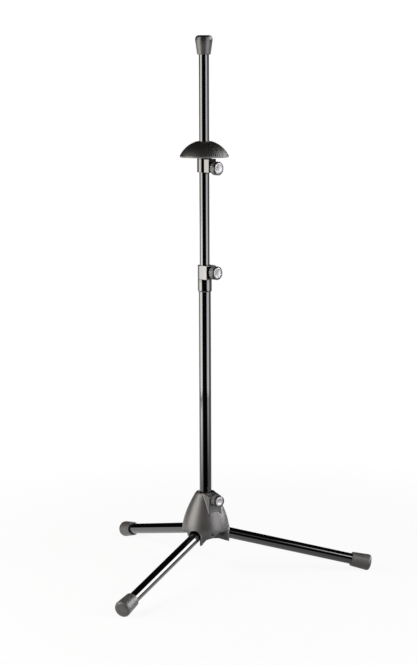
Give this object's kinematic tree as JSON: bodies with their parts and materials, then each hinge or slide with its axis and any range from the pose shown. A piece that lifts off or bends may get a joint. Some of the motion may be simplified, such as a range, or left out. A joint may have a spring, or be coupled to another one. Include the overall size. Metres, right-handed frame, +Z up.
{
  "type": "trombone stand",
  "caption": "Floor stand for a trombone: three folding tubular legs in a moulded hood, a telescoping pole and rod with clamp knobs, a domed bell rest and a rubber end cap.",
  "frame": {"origin": "on the floor, in the middle of the stand's footprint box", "axes": "+Z up along the pole, +X along the right leg"},
  "size_m": [0.475, 0.5448, 0.9855],
  "materials": {
    "black_lacquer": "gloss black powder lacquer on steel",
    "grey_moulding": "fine-grained dark grey moulding",
    "black_rubber": "matt black rubber",
    "dome_plastic": "satin black-brown moulding with fine ribs",
    "grip_plastic": "black fluted grip",
    "chrome": "bright",
    "zinc_steel": "zinc plated",
    "black_steel": "blackened",
    "brass": "turned",
    "nylon": "black nylon"
  },
  "bodies": {
    "base": {"base_hood": "grey_moulding", "hinge_pin_right": "black_steel", "hinge_pin_left": "black_steel", "hinge_pin_front": "black_steel", "hood_thread_insert": "brass"},
    "leg_right": {"leg_tube_right": "black_lacquer", "leg_bush_right": "nylon", "foot_cap_right": "black_rubber"},
    "leg_left": {"leg_tube_left": "black_lacquer", "leg_bush_left": "nylon", "foot_cap_left": "black_rubber"},
    "leg_front": {"leg_tube_front": "black_lacquer", "leg_bush_front": "nylon", "foot_cap_front": "black_rubber"},
    "hood_bush": {"hood_guide_bush": "nylon"},
    "pole": {"pole_tube": "black_lacquer", "pole_end_plug": "nylon", "pole_collar": "black_lacquer", "collar_thread_insert": "brass"},
    "collar_bush": {"collar_guide_bush": "nylon"},
    "rod": {"rod_tube": "black_lacquer", "rod_guide_plug": "nylon", "end_cap": "black_rubber"},
    "rest_bush": {"rest_guide_bush": "nylon"},
    "rest": {"rest_sleeve": "black_lacquer", "bell_rest_dome": "dome_plastic", "rest_thread_insert": "brass"},
    "hood_pad": {"hood_clamp_pad": "nylon"},
    "hood_knob": {"hood_knob_grip": "grip_plastic", "hood_knob_disc": "chrome", "hood_clamp_screw": "zinc_steel"},
    "collar_pad": {"collar_clamp_pad": "nylon"},
    "collar_knob": {"collar_knob_grip": "grip_plastic", "collar_knob_disc": "chrome", "collar_clamp_screw": "zinc_steel"},
    "rest_pad": {"rest_clamp_pad": "nylon"},
    "rest_knob": {"rest_knob_grip": "grip_plastic", "rest_knob_disc": "chrome", "rest_clamp_screw": "zinc_steel"}
  },
  "joints": [
    {"name": "leg_right_fold", "type": "hinge", "parent": "base", "child": "leg_right", "pos_m": [-0.04235, 0, 0.07825], "axis": [0, 1, 0], "range_deg": [0, 76.8]},
    {"name": "leg_left_fold", "type": "hinge", "parent": "base", "child": "leg_left", "pos_m": [-0.08735, 0.02598, 0.07825], "axis": [-0.866, -0.5, 0], "range_deg": [0, 76.8]},
    {"name": "leg_front_fold", "type": "hinge", "parent": "base", "child": "leg_front", "pos_m": [-0.08735, -0.02598, 0.07825], "axis": [0.866, -0.5, 0], "range_deg": [0, 76.8]},
    {"name": "pole_turn", "type": "hinge", "parent": "base", "child": "hood_bush", "pos_m": [-0.07235, 0, 0.102], "axis": [0, 0, 1], "continuous": true},
    {"name": "pole_slide", "type": "slide", "parent": "hood_bush", "child": "pole", "axis": [0, 0, 1], "range_m": [-0.27, 0.02]},
    {"name": "rod_turn", "type": "hinge", "parent": "pole", "child": "collar_bush", "pos_m": [-0.07235, 0, 0.5518], "axis": [0, 0, 1], "continuous": true},
    {"name": "rod_slide", "type": "slide", "parent": "collar_bush", "child": "rod", "axis": [0, 0, 1], "range_m": [-0.16, 0.04]},
    {"name": "rest_slide", "type": "slide", "parent": "rod", "child": "rest_bush", "axis": [0, 0, -1], "range_m": [-0.15, 0.16]},
    {"name": "rest_turn", "type": "hinge", "parent": "rest_bush", "child": "rest", "pos_m": [-0.07235, 0, 0.77], "axis": [0, 0, 1], "continuous": true},
    {"name": "hood_screw_travel", "type": "slide", "parent": "base", "child": "hood_pad", "axis": [0.5, -0.866, 0], "range_m": [0, 0.0026]},
    {"name": "hood_knob_turn", "type": "hinge", "parent": "hood_pad", "child": "hood_knob", "pos_m": [-0.05235, -0.03464, 0.14445], "axis": [0.5, -0.866, 0], "range_deg": [0, 720]},
    {"name": "collar_screw_travel", "type": "slide", "parent": "pole", "child": "collar_pad", "axis": [0.6896, -0.7242, 0], "range_m": [0, 0.0026]},
    {"name": "collar_knob_turn", "type": "hinge", "parent": "collar_pad", "child": "collar_knob", "pos_m": [-0.05166, -0.02173, 0.5622], "axis": [0.6896, -0.7242, 0], "range_deg": [0, 720]},
    {"name": "rest_screw_travel", "type": "slide", "parent": "rest", "child": "rest_pad", "axis": [0.6896, -0.7242, 0], "range_m": [0, 0.0026]},
    {"name": "rest_knob_turn", "type": "hinge", "parent": "rest_pad", "child": "rest_knob", "pos_m": [-0.05166, -0.02173, 0.7504], "axis": [0.6896, -0.7242, 0], "range_deg": [0, 720]}
  ],
  "couplings": [
    {"joint": "hood_screw_travel", "follows": "hood_knob_turn", "m_per_rad": 0.000199},
    {"joint": "collar_screw_travel", "follows": "collar_knob_turn", "m_per_rad": 0.000199},
    {"joint": "rest_screw_travel", "follows": "rest_knob_turn", "m_per_rad": 0.000199}
  ]
}
